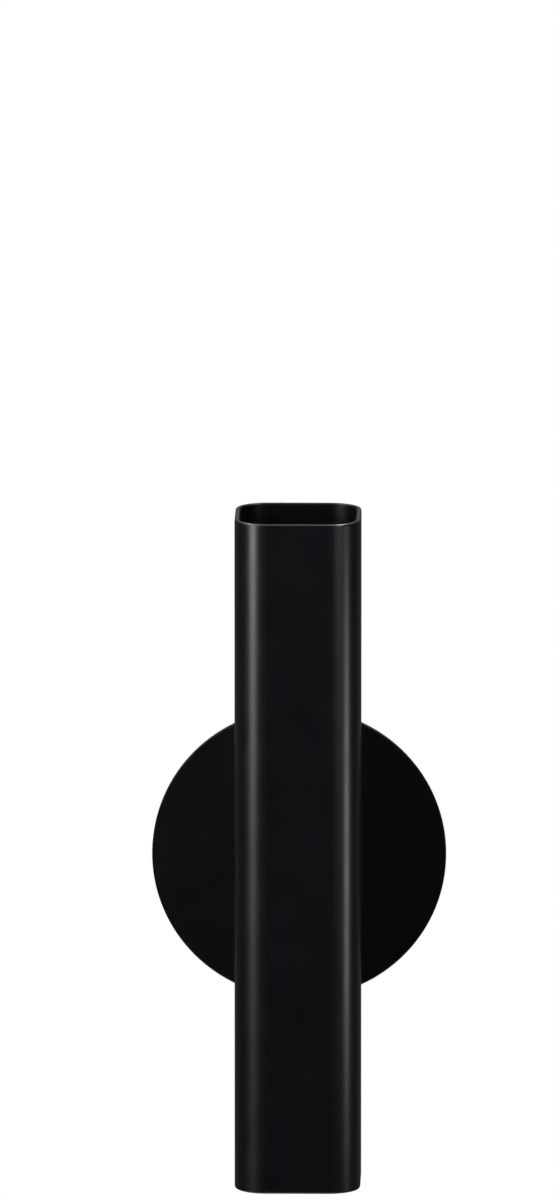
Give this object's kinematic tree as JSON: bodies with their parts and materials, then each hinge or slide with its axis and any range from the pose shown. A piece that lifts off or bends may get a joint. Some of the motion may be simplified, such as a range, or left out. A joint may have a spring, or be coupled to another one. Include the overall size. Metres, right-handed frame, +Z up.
{
  "type": "wall vase",
  "caption": "Wall vase: a tall rounded-square metal tube, open at the top, hung by keyholes on a round wall disc, with a lift-out glass test tube inside for the water.",
  "frame": {"origin": "centre of the wall disc's back face, on the wall", "axes": "+Z up along the tube, +Y into the wall, +X to the right as seen from the room"},
  "size_m": [0.12, 0.0891, 0.2768],
  "materials": {
    "black_coat": "satin black powder coat",
    "clear_glass": "clear, fire polished at the rim",
    "black_silicone": "matt moulded silicone",
    "clear_silicone": "cloudy soft silicone",
    "zinc_steel": "bright zinc plate",
    "brass": "turned"
  },
  "bodies": {
    "wall_mount": {"wall_disc": "black_coat", "stud_screws": "zinc_steel", "stud_washers": "zinc_steel", "hanging_nuts": "brass", "bumper_pads": "clear_silicone", "wall_screws": "zinc_steel"},
    "hanging_tube": {"tube_body": "black_coat", "base_cap": "black_coat", "liner_seat": "black_silicone"},
    "water_glass": {"glass_liner": "clear_glass", "liner_collar": "black_silicone"}
  },
  "joints": [
    {"name": "tube_lift", "type": "slide", "parent": "wall_mount", "child": "hanging_tube", "axis": [0, 0, 1], "range_m": [0, 0.012]},
    {"name": "glass_lift", "type": "slide", "parent": "hanging_tube", "child": "water_glass", "axis": [0, 0, 1], "range_m": [0, 0.275]}
  ]
}
